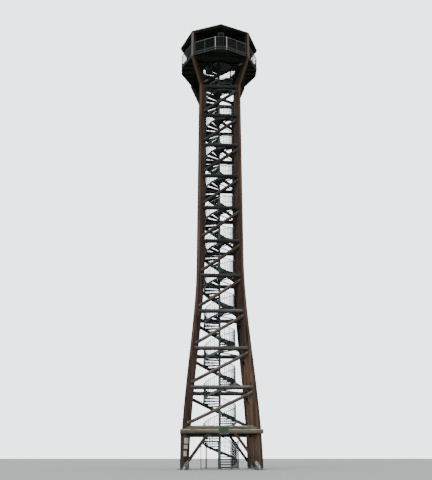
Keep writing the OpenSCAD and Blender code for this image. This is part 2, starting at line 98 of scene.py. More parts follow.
def leg_r(z):
    """Plan radius of a leg's outer face at a height."""
    if z <= TOP_RING:
        u = max(0.0, 1 - z / FLARE_H)
        return SHAFT_R + TAPER * (TOP_RING - z) + WIDEST * u * u * (3 - 2 * u)
    part = min(1.0, (z - TOP_RING) / (SPLAY - TOP_RING))
    return SHAFT_R + (HEAD_R - SHAFT_R) * part


def face_y(z):
    """Distance of a face's beams from the axis."""
    return (leg_r(z) - BEAM_BACK) / sqrt(2)


def face_half(z):
    """Half the clear width between two legs."""
    return face_y(z) - LEG_T / sqrt(2)


def turn(angle):
    return Matrix.Rotation(radians(angle), 4, "Z")


def shift(x, y, z):
    return Matrix.Translation((x, y, z))


def octant(k):
    """Turns X to the middle of a side of an octagon."""
    return turn(22.5 + 45 * k)


def step_place(n):
    """A step's matrix: X runs out along the step, and 0 is its top."""
    return shift(0, 0, n * RISER) @ Matrix.Rotation((n - 1) * STEP + TURN_START, 4, "Z")


def guard_sides():
    """Each side of the guard: a matrix with X out from its outer face, and its ends along Y."""
    half = SHORT_HALF - MITRE
    far = LONG_LEN - GUARD_STOP
    for a in FACE_ANGLES:
        yield turn(a) @ shift(SHORT_Y, 0, 0), -half, half
        for s in (-1, 1):
            corner = turn(a) @ shift(SHORT_Y, s * SHORT_HALF, 0)
            ends = sorted((s * MITRE, s * far))
            yield corner @ turn(s * degrees(LONG_TURN)), *ends


def at(place, along, up):
    """A matrix whose X runs along, whose Z runs up, and which stands at a place."""
    z = Vector(up).normalized()
    x = Vector(along) - z * Vector(along).dot(z)
    x.normalize()
    m = Matrix((x, z.cross(x), z)).transposed().to_4x4()
    m.translation = Vector(place)
    return m


# ------------------------ modelling


def take(*objects):
    bpy.ops.object.select_all(action="DESELECT")
    for o in objects:
        o.select_set(True)
    bpy.context.view_layer.objects.active = objects[0]


def settle():
    bpy.ops.object.transform_apply(location=True, rotation=True, scale=True)


def edit_all(o):
    """Goes into edit mode on a piece, with all of it selected."""
    take(o)
    bpy.ops.object.mode_set(mode="EDIT")
    bpy.ops.mesh.select_all(action="SELECT")


def leave_edit():
    bpy.ops.object.mode_set(mode="OBJECT")


def remove(o):
    mesh = o.data
    bpy.data.objects.remove(o)
    bpy.data.meshes.remove(mesh)


def block(low, high, bevel=0.0):
    """A block between two corners, its edges eased by a bevel."""
    low, high = Vector(low), Vector(high)
    bpy.ops.mesh.primitive_cube_add(size=1, location=(low + high) / 2)
    o = bpy.context.object
    o.scale = high - low
    settle()
    if bevel:
        edit_all(o)
        bpy.ops.mesh.bevel(offset=bevel, segments=1)
        leave_edit()
    return o


def rod(radius, length, sides):
    """A rod that stands on the origin along Z."""
    bpy.ops.mesh.primitive_cylinder_add(vertices=sides, radius=radius, depth=length,
                                        location=(0, 0, length / 2))
    settle()
    return bpy.context.object


def joined(objects):
    take(*objects)
    if len(objects) > 1:
        bpy.ops.object.join()
    return bpy.context.object


def bars(boxes):
    """One object of eased bars, each given by its two corners."""
    return joined([block(low, high, 0.002) for low, high in boxes])


def flat_bars(y, rows):
    """Eased bars on the front of a plane, each given by its ends along X and Z."""
    return bars([((x0, y - 0.006, z0), (x1, y, z1)) for x0, x1, z0, z1 in rows])


def copies(model, places):
    """One object of a model's copies; the model itself is used up."""
    made = []
    for m in places:
        o = model.copy()
        o.data = model.data.copy()
        o.data.transform(m)
        bpy.context.collection.objects.link(o)
        made.append(o)
    remove(model)
    return joined(made)


def span(a, b):
    """A matrix that lays a one metre rod along Z between two points."""
    a, b = Vector(a), Vector(b)
    side = (0, 0, 1) if abs((b - a).normalized().z) < 0.9 else (1, 0, 0)
    return at(a, side, b - a) @ Matrix.Diagonal((1, 1, (b - a).length, 1))


def cut_with(o, cutter):
    """Cuts a closed shape out of a piece and removes the shape."""
    mod = o.modifiers.new("cut", "BOOLEAN")
    mod.operation = "DIFFERENCE"
    mod.solver = "EXACT"
    mod.object = cutter
    take(o)
    bpy.ops.object.modifier_apply(modifier=mod.name)
    remove(cutter)


def slice_off(o, planes):
    """Cuts away what is beyond each plane, given by a point and a normal, and closes the cut."""
    edit_all(o)
    for point, normal in planes:
        bpy.ops.mesh.bisect(plane_co=point, plane_no=normal, use_fill=True, clear_outer=True)
        bpy.ops.mesh.select_all(action="SELECT")
    leave_edit()


def clean(o):
    edit_all(o)
    bpy.ops.mesh.remove_doubles(threshold=0.00002)
    bpy.ops.mesh.normals_make_consistent(inside=False)
    leave_edit()


def dress(o, name, finish):
    """Names a piece, gives it its finish and lets it ride on the tower."""
    o.name = o.data.name = name
    o.data.materials.clear()
    o.data.materials.append(FINISH[finish])
    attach(o, "root")
    return o


# ------------------------ finishes

# Marks on the surfaces; the check and damp colours also darken lower edges as painted shade
CHECK_AND_SHADE, GLUE_LINE, DAMP_AND_SHADE = (0.02, 0.014, 0.01, 1), (0.012, 0.008, 0.006, 1), (0.014, 0.011, 0.007, 1)
MOSS, RAIN_MARK, RUN_MARK = (0.03, 0.035, 0.016, 1), (0.06, 0.055, 0.045, 1), (0.16, 0.13, 0.1, 1)
OPEN_JOINT = (0.004, 0.004, 0.004, 1)
# Painted shade, as factors that colours are multiplied by: high up, under the lookout, and on the right
# side of the posts
DIAGONAL_SHADE, RING_SHADE = (0.4, 0.42, 0.42, 1), (0.17, 0.19, 0.18, 1)
HEAD_SHADE, POST_SHADE = (0.6, 0.6, 0.5, 1), (0.8, 0.62, 0.58, 1)
# The heights where a change of finish starts and ends: painted light low on the legs, moss at their
# feet, and paler steel low down
LEG_LIT_BELOW, LEG_MOSS, STEEL_PALE = (9.8, 6.5), (2.4, 0.1), (14.0, 1.0)
# The heights where painted shade starts and is full, high up on the diagonals and on the ring beams
DIAGONAL_HIGH, RING_HIGH = (7.0, 22.0), (5.0, 18.0)
# Thickness of a leg's laminations, width of the boards under the roof, and slope of the diagonals
LAMINATION, ROOF_BOARD, DIAG_SLOPE = 0.045, 0.12, 38


def scaled(colour, part):
    """A colour made lighter or darker."""
    return [c * part for c in colour[:3]] + [1]


def put(kind, props=None, **sockets):
    """Adds a shader node beside what feeds it, and gives back its outputs.

    A socket is given by name, or by place as i0, i1 and so on.
    """
    tree = next(value.id_data for value in sockets.values() if isinstance(value, bpy.types.NodeSocket))
    n = tree.nodes.new("ShaderNode" + kind)
    for key, value in (props or {}).items():
        setattr(n, key, value)
    for key, value in sockets.items():
        by_place = key[0] == "i" and key[1:].isdigit()
        s = n.inputs[int(key[1:])] if by_place else n.inputs[key.replace("_", " ")]
        if isinstance(value, bpy.types.NodeSocket):
            tree.links.new(value, s)
        else:
            s.default_value = value
    return n.outputs


def give(inputs, **values):
    """Links values to inputs by name."""
    for key, value in values.items():
        value.id_data.links.new(value, inputs[key.replace("_", " ")])


def calc(what, a, b=0.0, c=0.0, clamp=False):
    return put("Math", {"operation": what, "use_clamp": clamp}, i0=a, i1=b, i2=c)[0]


def times(value, *factors):
    for factor in factors:
        value = calc("MULTIPLY", value, factor)
    return value


def minus(a, b, clamp=False):
    return calc("SUBTRACT", a, b, clamp=clamp)


def linear(value, factor, start, clamp=False):
    return calc("MULTIPLY_ADD", value, factor, start, clamp)


def absolute(value):
    return calc("ABSOLUTE", value)


def phase(value, pitch):
    """How far a value is through its pitch, from 0 to 1."""
    return calc("FRACT", calc("DIVIDE", value, pitch))


def blend(part, a, b, kind="MIX"):
    return put("Mix", {"data_type": "RGBA", "blend_type": kind}, i0=part, i6=a, i7=b)[2]


def toned(colour, tone):
    """A colour multiplied by a tone that changes over the surface."""
    tone = put("CombineColor", Red=tone, Green=tone, Blue=tone)[0]
    return blend(1.0, colour, tone, "MULTIPLY")


def ramp(value, low, high):
    """0 at the low value and 1 at the high one, with a soft start and end."""
    smooth = {"interpolation_type": "SMOOTHSTEP"}
    return put("MapRange", smooth, Value=value, From_Min=low, From_Max=high)[0]


def mapped(vector, **sockets):
    return put("Mapping", {"vector_type": "POINT"}, Vector=vector, **sockets)[0]


def noise(vector, scale, detail=3.0, rough=0.55):
    return put("TexNoise", Vector=vector, Scale=scale, Detail=detail, Roughness=rough)[0]


def axes(vector):
    """A vector's X, Y and Z."""
    return put("SeparateXYZ", Vector=vector)[:]


def facing(place):
    """Which way a surface faces."""
    return place.id_data.nodes.new("ShaderNodeNewGeometry").outputs["Normal"]


def facing_up(place):
    """How far a surface faces up: 1 on top, -1 below."""
    return axes(facing(place))[2]


def swapped(place):
    """A place with its X and Y changed round."""
    x, y, z = axes(place)
    return put("CombineXYZ", X=y, Y=x, Z=z)[0]


def bump(shader, height, depth, strength):
    give(shader.inputs, Normal=put("Bump", Height=height, Distance=depth, Strength=strength)[0])


def make_group(name, **inputs):
    """A node group from a vector, colours and numbers to a colour, a roughness and a height."""
    tree = bpy.data.node_groups.new(name, "ShaderNodeTree")
    tree.interface.new_socket("Vector", in_out="INPUT", socket_type="NodeSocketVector")
    for label, value in inputs.items():
        kind = "NodeSocketFloat" if isinstance(value, float) else "NodeSocketColor"
        tree.interface.new_socket(label, in_out="INPUT", socket_type=kind).default_value = value
    for label, kind in (("Color", "Color"), ("Roughness", "Float"), ("Height", "Float")):
        tree.interface.new_socket(label, in_out="OUTPUT", socket_type="NodeSocket" + kind)
    return tree.nodes.new("NodeGroupInput").outputs, tree.nodes.new("NodeGroupOutput").inputs


def timber_group():
    """Weathered stained timber whose grain runs along the vector's X."""
    given, out = make_group("Timber grain", Light=(0.3, 0.16, 0.1, 1), Dark=(0.1, 0.06, 0.04, 1),
                            Grey=(0.3, 0.28, 0.25, 1), Weather=0.5)
    v = given["Vector"]
    streak = ramp(noise(mapped(v, Scale=(0.35, 7, 7)), 1.0, 4), 0.32, 0.68)
    fine = noise(mapped(v, Scale=(2.0, 80, 80)), 1.0, 3, 0.6)
    patch = noise(v, 0.7, 4, 0.6)
    check = ramp(noise(mapped(v, Scale=(0.9, 34, 34)), 1.0, 2), 0.66, 0.74)
    top = ramp(facing_up(v), 0.2, 0.9)
    colour = blend(streak, given["Dark"], given["Light"])
    grey = calc("ADD", ramp(patch, 0.35, 0.7), top, clamp=True)
    grey = calc("MULTIPLY", grey, given["Weather"], clamp=True)
    colour = toned(blend(grey, colour, given["Grey"]), linear(fine, 0.5, 0.75))
    give(out, Color=blend(times(check, 0.7), colour, CHECK_AND_SHADE),
         Roughness=linear(patch, 0.2, 0.66), Height=minus(times(fine, 0.5), check))


def zinc_group():
    """Hot-dip galvanised steel: spangles, dull patches and faint run marks."""
    given, out = make_group("Galvanised steel", Light=(0.5, 0.55, 0.56, 1), Dark=(0.3, 0.35, 0.36, 1),
                            Stain=0.3)
    v = given["Vector"]
    spangle = put("SeparateColor", Color=put("TexVoronoi", Vector=v, Scale=70.0)["Color"])[0]
    patch = noise(v, 2.2, 4, 0.6)
    runs = noise(mapped(v, Scale=(14, 14, 0.9)), 1.0, 3)
    colour = blend(ramp(patch, 0.3, 0.7), given["Dark"], given["Light"])
    colour = toned(colour, linear(spangle, 0.16, 0.92))
    stain = times(ramp(runs, 0.55, 0.75), given["Stain"])
    give(out, Color=blend(stain, colour, RUN_MARK),
         Roughness=linear(spangle, 0.14, 0.42), Height=times(patch, 0.2))


def new_finish(name, metallic=0.0, gloss=0.5):
    """A material, its shader, and the place of a point on the object."""
    mat = bpy.data.materials.new(name)
    mat.use_nodes = True
    shader = mat.node_tree.nodes["Principled BSDF"]
    shader.inputs["Metallic"].default_value = metallic
    shader.inputs["Specular IOR Level"].default_value = gloss
    return mat, shader, mat.node_tree.nodes.new("ShaderNodeTexCoord").outputs["Object"]


def use(shader, group, depth, **sockets):
    """Places a group, wires it into the shader, and gives back its colour."""
    given = put("Group", {"node_tree": bpy.data.node_groups[group]}, **sockets)
    give(shader.inputs, Base_Color=given["Color"], Roughness=given["Roughness"])
    bump(shader, given["Height"], depth, 0.7)
    return given["Color"]


def grained(shader, vector, light, dark, grey, weather):
    return use(shader, "Timber grain", 0.004, Vector=vector, Light=light, Dark=dark, Grey=grey,
               Weather=weather)


def galvanised(shader, place, light, dark, stain):
    return use(shader, "Galvanised steel", 0.001, Vector=place, Light=light, Dark=dark, Stain=stain)


def height_of(place):
    return axes(place)[2]


def outward(place):
    """1 where a surface faces away from the axis, else 0."""
    flat = put("VectorMath", {"operation": "MULTIPLY"}, i0=place, i1=(1, 1, 0))[0]
    flat = put("VectorMath", {"operation": "NORMALIZE"}, i0=flat)[0]
    away = put("VectorMath", {"operation": "DOT_PRODUCT"}, i0=flat, i1=facing(place))["Value"]
    return ramp(away, 0.75, 0.9)


def ragged(grain, width):
    """Moves an edge to and fro along the grain, over a width."""
    return linear(noise(grain, 3.0, 3), width, -width / 2)


def grain_upright(place):
    x, y, z = axes(place)
    return put("CombineXYZ", X=z, Y=x, Z=y)[0]


def grain_level(place):
    """Grain along X on the front and rear faces, and along Y on the other two."""
    x, y, _ = axes(place)
    side = calc("GREATER_THAN", absolute(x), absolute(y))
    return put("Mix", {"data_type": "VECTOR"}, i0=side, i4=place, i5=swapped(place))[1]


def grain_slanted(place, angle, along_y):
    """Grain along a diagonal, on the front and rear faces or on the other two."""
    if along_y:
        place = swapped(place)
    return mapped(place, Rotation=(0, radians(angle), 0))


def timber(name, grain, light, dark, grey, weather, gloss=0.2):
    """Stained timber with its grain along one direction."""
    mat, shader, place = new_finish(name, gloss=gloss)
    grained(shader, grain(place), light, dark, grey, weather)
    return mat


def deck_timber(light, dark, grey, under):
    """Deck boards: worn grey above, and dark below as painted shade."""
    mat, shader, place = new_finish("Deck board timber", gloss=0.1)
    # Painted shade: faces turned down take the dark under colour
    top = ramp(facing_up(place), 0.2, 0.6)
    grained(shader, place, *[blend(top, under, colour) for colour in (light, dark, grey)], 0.5)
    return mat


def flare(z):
    """How far a height is below the legs' straight part: 1 at the ground, 0 from there up."""
    return minus(1.0, calc("DIVIDE", z, FLARE_H), clamp=True)


def across_diagonal(place, sign, along_y):
    """Where a point lies across its diagonal: 0 at the lower edge, 1 at the upper one."""
    x, y, z = axes(place)
    side, depth = (y, x) if along_y else (x, y)
    inset = DIAG_T / 2 + LEG_T / sqrt(2) - LEG_T / 2
    half = minus(absolute(depth), inset)
    rise = STAGE - BEAM_H - 2 * DIAG_DROP
    above = times(phase(z, STAGE), STAGE)
    t = calc("DIVIDE", minus(above, DIAG_DROP), rise)
    # The faces lean, so a diagonal's middle line bows against its own height
    u = flare(z)
    bow = times(u, minus(1.0, u), -12 * WIDEST / FLARE_H * rise / sqrt(2))
    bow = times(bow, times(t, minus(1.0, t)))
    middle = calc("ADD", bow, times(half, linear(t, 2.0, -1.0)))
    length = calc("SQRT", linear(times(half, half), 4.0, rise * rise))
    off = times(minus(middle, times(side, sign)), rise)
    return linear(calc("DIVIDE", off, length), 1 / DIAG_H, 0.5)


def diagonal_timber(name, sign, along_y, light, dark, grey):
    """Diagonals: paler along their upper edge, soiled and darkened by painted shade along the lower
    one, with painted shade high up and painted shadow under the lookout.
    """
    mat, shader, place = new_finish(name, gloss=0.1)
    grain = grain_slanted(place, sign * DIAG_SLOPE, along_y)
    part = calc("ADD", across_diagonal(place, sign, along_y), ragged(grain, 0.4))
    light = blend(ramp(part, 0.45, 0.85), light, grey)
    colour = grained(shader, grain, light, dark, grey, 0.2)
    # Soil and painted shade darken the lower edge
    colour = blend(times(ramp(part, 0.5, 0.1), 0.85), colour, CHECK_AND_SHADE)
    z = height_of(place)
    # Painted shade, stronger higher up
    colour = blend(ramp(z, *DIAGONAL_HIGH), colour, DIAGONAL_SHADE, "MULTIPLY")
    # Painted shadow under the lookout
    deck_shadow = ramp(z, TOP_RING - 0.2, TOP_RING + 0.6)
    give(shader.inputs, Base_Color=blend(deck_shadow, colour, HEAD_SHADE, "MULTIPLY"))
    return mat


def laminations(place):
    """1 on the glue lines of a leg, which follow the curve of its outer face."""
    x, y, z = axes(place)
    u = flare(z)
    bend = times(u, u, minus(3.0, times(u, 2.0)))
    outer = linear(bend, WIDEST, SHAFT_R + TAPER * TOP_RING)
    outer = minus(outer, times(z, TAPER))
    reach = calc("ADD", absolute(x), absolute(y))
    depth = minus(outer, times(reach, sqrt(0.5)))
    line = calc("LESS_THAN", phase(depth, LAMINATION), 0.05)
    return times(line, calc("LESS_THAN", z, TOP_RING))


def leg_timber(light, dark, grey, outer, post):
    """A leg: painted light makes it warm outwards and low on the left and leaves it dark inwards;
    painted shade darkens it where it splays under the deck and on the right of the posts; greyed on top
    and mossy at its foot.
    """
    mat, shader, place = new_finish("Leg timber", gloss=0.15)
    x, _, z = axes(place)
    outside = outward(place)
    patch = noise(mapped(place, Scale=(1, 1, 0.25)), 1.6, 4, 0.6)
    right = ramp(x, -0.5, 0.5)
    # Painted light: low down, and more on the left, the legs take the lit warm colour
    near = times(ramp(z, *LEG_LIT_BELOW), linear(right, 0.9, 0.1))
    light = blend(near, light, scaled(outer, 1.2))
    dark = blend(near, dark, scaled(outer, 0.3))
    # Painted light: faces turned away from the axis take the lit warm colour
    warm = times(outside, linear(patch, 1.1, 0.25, clamp=True))
    light = blend(warm, light, outer)
    dark = blend(warm, dark, scaled(outer, 0.5))
    above = times(ramp(z, DECK_UNDER - 0.15, DECK_UNDER + 0.1), outside)
    # Painted shade where the leg splays under the deck, stronger on the right
    splay_shade = times(ramp(z, TOP_RING - 0.1, TOP_RING + 0.2), minus(1.0, above))
    light = blend(times(splay_shade, linear(right, 0.1, 0.88)), light, dark)
    # Painted shade on the right side of the posts above the deck
    post = blend(right, post, [c * part for c, part in zip(post, POST_SHADE)])
    light = blend(above, light, post)
    dark = blend(above, dark, blend(0.4, post, dark))
    grey = blend(splay_shade, grey, dark)
    colour = grained(shader, grain_upright(place), light, dark, grey, 0.3)
    colour = blend(times(laminations(place), 0.55), colour, GLUE_LINE)
    damp = times(ramp(times(patch, 1.4), 0.5, 0.8), ramp(z, *LEG_MOSS))
    give(shader.inputs, Base_Color=blend(times(damp, 0.6), colour, MOSS))
    return mat


def beam_timber(name, light, dark, grey, weather, from_z, pitch, height, soil_and_shade):
    """Level beams: paler along the top, damp and darkened by painted shade along the lower edge, with
    painted shade high up if repeated.
    """
    mat, shader, place = new_finish(name, gloss=0.2)
    grain = grain_level(place)
    z = minus(height_of(place), from_z)
    if pitch:
        z = times(phase(z, pitch), pitch)
    part = calc("ADD", calc("DIVIDE", z, height), ragged(grain, 0.5))
    light = blend(ramp(part, 0.55, 0.95), light, grey)
    colour = grained(shader, grain, light, dark, grey, weather)
    # Soil and painted shade darken the lower edge
    low = times(ramp(part, 0.55, 0.2 if pitch else 0.1), soil_and_shade)
    colour = blend(low, colour, DAMP_AND_SHADE)
    # Painted shade, stronger higher up on the ring beams
    if pitch:
        high = ramp(height_of(place), *RING_HIGH)
        colour = blend(high, colour, RING_SHADE, "MULTIPLY")
    give(shader.inputs, Base_Color=colour)
    return mat


def guard_zinc(name, light, dark, bright, posts=False):
    """Soiled guard frames. Bright on them are the top rails, as a painted highlight, or the posts
    beside the short sides, which are bright steel.
    """
    mat, shader, place = new_finish(name, 0.4)
    x, y, z = axes(place)
    if posts:
        near = calc("MINIMUM", absolute(x), absolute(y))
        shown = ramp(near, SHORT_HALF - GUARD_T - 0.03, SHORT_HALF - GUARD_T - 0.02)
    else:
        # Painted highlight along the top rails
        shown = ramp(z, GUARD_TOP - GUARD_T - 0.02, GUARD_TOP - GUARD_T + 0.01)
    light = blend(shown, light, bright)
    dark = blend(shown, dark, scaled(bright, 0.6))
    galvanised(shader, place, light, dark, 0.35)
    return mat


def zinc(name, light, dark=None, stain=0.3, metallic=0.2, fade=0.0):
    """Galvanised steel; fade makes it paler towards the ground."""
    mat, shader, place = new_finish(name, metallic)
    if dark is None:
        dark = scaled(light, 0.5)
    pale = times(ramp(height_of(place), *STEEL_PALE), fade)
    light = blend(pale, light, scaled(light, 2.3))
    dark = blend(pale, dark, scaled(dark, 2.3))
    galvanised(shader, place, light, dark, stain)
    return mat


def tread_plate(light, dark, under):
    """Galvanised plate with raised lozenges on its upper side, dull below and dark there as painted
    shade.
    """
    mat, shader, place = new_finish("Chequered tread plate", 0.25)
    top = ramp(facing_up(place), 0.3, 0.7)
    # Painted shade: faces turned down take the dark under colour
    light = blend(top, under, light)
    dark = blend(top, scaled(under, 0.5), dark)
    galvanised(shader, place, light, dark, 0.4)
    x, y, _ = axes(place)
    rows = calc("SINE", times(calc("ADD", x, y), 160.0))
    columns = calc("SINE", times(minus(x, y), 80.0))
    bump(shader, ramp(times(rows, columns), 0.45, 0.7), 0.002, 0.8)
    return mat


def octagon_distance(place):
    """Distance from the axis, square to the nearest side of an octagon."""
    x, y, _ = axes(place)
    x, y = absolute(x), absolute(y)
    c, s = cos(SIDE), sin(SIDE)
    one = calc("ADD", times(x, c), times(y, s))
    two = calc("ADD", times(x, s), times(y, c))
    return calc("MAXIMUM", one, two)


def roof_finish(top, under):
    """Coated sheet above; below, dark boards with open joints, darkened further as painted shade."""
    mat, shader, place = new_finish("Roof sheet and boarding", gloss=0.06)
    below = calc("LESS_THAN", facing_up(place), -0.3)
    joint = calc("LESS_THAN", phase(octagon_distance(place), ROOF_BOARD), 0.08)
    tone = noise(place, 1.4, 4, 0.6)
    fine = noise(mapped(place, Scale=(30, 30, 30)), 1.0, 3)
    upper = blend(ramp(tone, 0.35, 0.7), top, scaled(top, 1.7))
    # Painted shade: the boards below take the dark under colour
    lower = blend(ramp(tone, 0.3, 0.7), scaled(under, 0.6), under)
    lower = blend(joint, lower, OPEN_JOINT)
    give(shader.inputs, Base_Color=blend(below, upper, lower),
         Roughness=linear(tone, 0.3, 0.42))
    bump(shader, minus(times(fine, 0.2), times(joint, below)), 0.004, 0.6)
    return mat


def painted(name, colour, dirt, rough=0.5, gloss=0.3):
    """Painted sheet with rain marks and dull patches."""
    mat, shader, place = new_finish(name, gloss=gloss)
    tone = noise(place, 3.0, 5, 0.6)
    runs = noise(mapped(place, Scale=(22, 22, 1.2)), 1.0, 3)
    base = blend(ramp(tone, 0.3, 0.75), colour, scaled(colour, 0.72))
    base = blend(times(ramp(runs, 0.5, 0.72), dirt), base, RAIN_MARK)
    give(shader.inputs, Base_Color=base, Roughness=linear(tone, 0.25, rough - 0.1))
    bump(shader, tone, 0.001, 0.4)
    return mat


FINISH = {}

# Which finish each of the frame's nodes takes
NODE_FINISH = {
    "leg": "leg_front_left leg_front_right leg_rear_left leg_rear_right", "knee": "knee_braces",
    "ring": "ring_beams", "base_outer": "base_outer_beams", "base_upper": "base_upper_beams",
    "diagonal_x": "diagonals_front", "diagonal_x_back": "diagonals_rear",
    "diagonal_y": "diagonals_right", "diagonal_y_back": "diagonals_left",
    "head_beam": "deck_girders deck_rim_beams deck_joists",
    "eave_timber": "eave_beams hip_rafters roof_hub",
    "zinc": "leg_shoes newel stair_ties hatch_guard string_lower string_upper "
            "stair_rail_lower stair_rail_upper treads_lower treads_upper cage_panels stair_cage",
    "fitting": "joint_angles", "hatch": "hatch_ring hatch_landing", "guard": "guard_panels",
    "corner_guard": "corner_guards", "bright": "knee_shoes", "edge": "toe_boards",
    "flashing": "base_flashing", "roof": "roof_sheets", "roof_trim": "hip_caps roof_cap",
    "deck": "deck_boards", "board": "name_board", "locker": "corner_locker", "plate": "leg_plates",
}


# ------------------------ settings


def measure(name, description, value):
    return FloatProperty(name=name, description=description, default=value, unit="LENGTH")


def tint(name, description, *value):
    return FloatVectorProperty(name=name, description=description, default=(*value, 1), size=4,
                               subtype="COLOR")


class TowerSizes(bpy.types.PropertyGroup):
    """Sizes of the fine pieces."""

    board_w: measure("Board width", "Width of a deck board", 0.14)
    board_gap: measure("Board gap", "Gap between deck boards", 0.008)
    bolt_d: measure("Bolt", "Diameter of the timber bolts", 0.024)
    baluster_w: measure("Baluster", "Width of the stair's balusters, along its radius", 0.045)
    baluster_t: measure("Baluster, thin", "Thickness of the stair's balusters", 0.008)
    sleeve_d: measure("Sleeve", "Diameter of the sleeves on the stair's posts", 0.052)
    handrail_d: measure("Handrail", "Diameter of the stair's handrail", 0.0504)
    middle_rail_d: measure("Middle rail", "Diameter of the stair's middle rail", 0.026)
    tray_h: measure("Tread lip", "Height of a tread's folded lips", 0.07)
    mesh_pitch: measure("Mesh", "Spacing of the guard mesh", 0.03)
    mesh_wire: measure("Wire", "Diameter of the guard mesh's wire", 0.005)
    cage_pitch: measure("Cage mesh", "Spacing of the cage's fine mesh", 0.012)
    cage_wire: measure("Cage wire", "Diameter of the fine mesh's wire", 0.0044)
    seam_pitch: measure("Seam spacing", "Spacing of the roof's standing seams", 0.42)
    seam_h: measure("Seam height", "Height of a standing seam", 0.028)


class TowerColours(bpy.types.PropertyGroup):
    """Colours of the finishes."""

    timber_light: tint("Timber, light", "Lit grain of the stained timber", 0.082, 0.049, 0.035)
    # Painted light: the lit warm colour of the legs' outward faces
    timber_lit_warm: tint("Timber, warm", "Outward faces of the legs", 0.178, 0.108, 0.07)
    timber_dark: tint("Timber, dark", "Dark grain of the stained timber", 0.02, 0.011, 0.008)
    timber_grey: tint("Timber, greyed", "Timber greyed by weather", 0.085, 0.066, 0.052)
    post_grey: tint("Posts", "Bleached legs above the deck", 0.19, 0.19, 0.175)
    base_grey: tint("Base beams", "Bleached timber of the base", 0.195, 0.178, 0.1)
    beam_grey: tint("Ring beams", "Bleached timber of the ring beams", 0.24, 0.22, 0.19)
    # Painted shade: the dark colour of the timber under the deck
    deck_dark: tint("Deck boards", "Dark grain of the deck boards", 0.04, 0.04, 0.03)
    deck_under_shaded: tint("Deck underside", "Dark timber under the deck", 0.02, 0.031, 0.016)
    roof_top: tint("Roof sheet", "Coated sheet of the roof", 0.02, 0.023, 0.021)
    # Dark boards under the roof, darkened further as painted shade
    roof_under_shaded: tint("Roof boards", "Dark boards under the roof", 0.003, 0.0035, 0.0025)
    zinc_light: tint("Zinc, light", "Galvanised steel", 0.1, 0.135, 0.14)
    zinc_dark: tint("Zinc, dark", "Dull patches of galvanised steel", 0.045, 0.066, 0.07)
    bright: tint("Bright steel", "Newer galvanised steel", 0.62, 0.64, 0.62)
    soiled: tint("Soiled steel", "Guard frames and edges in the open", 0.05, 0.05, 0.04)
    fitting: tint("Fittings", "Steel of the angles and end plates", 0.035, 0.036, 0.03)
    # Painted shade on the undersides of the treads
    tread_under_shaded: tint("Treads, below", "Undersides of the treads", 0.035, 0.052, 0.05)
    stair_post: tint("Stair posts", "Balusters and sleeves", 0.03, 0.045, 0.045)
    stair_rail: tint("Stair rails", "Handrail and middle rail", 0.3, 0.33, 0.33)
    rail_dark: tint("Stair rails, dark", "Dull patches of the rails", 0.2, 0.23, 0.23)
    cage_mesh: tint("Cage mesh", "Fine mesh of the cage", 0.075, 0.13, 0.115)
    guard_mesh: tint("Guard mesh", "Wire of the guards", 0.03, 0.042, 0.034)
    hatch: tint("Hatch", "Ring and landing of the hatch", 0.014, 0.018, 0.014)
    board: tint("Blank board", "Board on the front beam", 0.055, 0.09, 0.062)
    locker: tint("Locker", "Locker at the front corner", 0.011, 0.016, 0.011)
    plate: tint("Blank plates", "Plates on the front left leg", 0.66, 0.66, 0.62)


# ------------------------ operators


class TowerOperator(bpy.types.Operator):
    bl_options = {"REGISTER", "UNDO"}

    def execute(self, context):
        self.build(context.scene.tower_sizes, context.scene.tower_colours)
        return {"FINISHED"}


class TOWER_OT_stage(TowerOperator):
    """Camera, pale floor and soft studio light"""
    bl_idname = "tower.stage"
    bl_label = "Stage"

    def build(self, sizes, colours):
        bpy.ops.object.camera_add(location=CAMERA_PLACE,
                                  rotation=(radians(90 + LOOK_UP), 0, radians(LOOK_ROUND)))
        camera = bpy.context.object
        camera.data.lens = LENS
        camera.data.sensor_width = SENSOR
        camera.data.clip_end = 1000
        bpy.context.scene.camera = camera

        bpy.ops.mesh.primitive_plane_add(size=600)
        floor = bpy.context.object
        floor.name = "floor"
        mat, shader, _ = new_finish("Pale floor")
        shader.inputs["Base Color"].default_value = (0.62, 0.61, 0.59, 1)
        shader.inputs["Roughness"].default_value = 0.9
        floor.data.materials.append(mat)

        world = bpy.data.worlds.new("Studio")
        world.use_nodes = True
        sky = world.node_tree.nodes["Background"]
        sky.inputs["Color"].default_value = (0.88, 0.92, 0.96, 1)
        seen = world.node_tree.nodes.new("ShaderNodeLightPath").outputs["Is Camera Ray"]
        give(sky.inputs, Strength=linear(seen, 2.7, 0.75))
        bpy.context.scene.world = world
        for name, spin, tilt, energy, angle in (("key", -30, 50, 1.0, 30), ("fill", 45, 60, 0.5, 60)):
            bpy.ops.object.light_add(type="SUN", rotation=(radians(tilt), 0, radians(spin)))
            light = bpy.context.object
            light.name = name
            light.data.energy = energy
            light.data.angle = radians(angle)


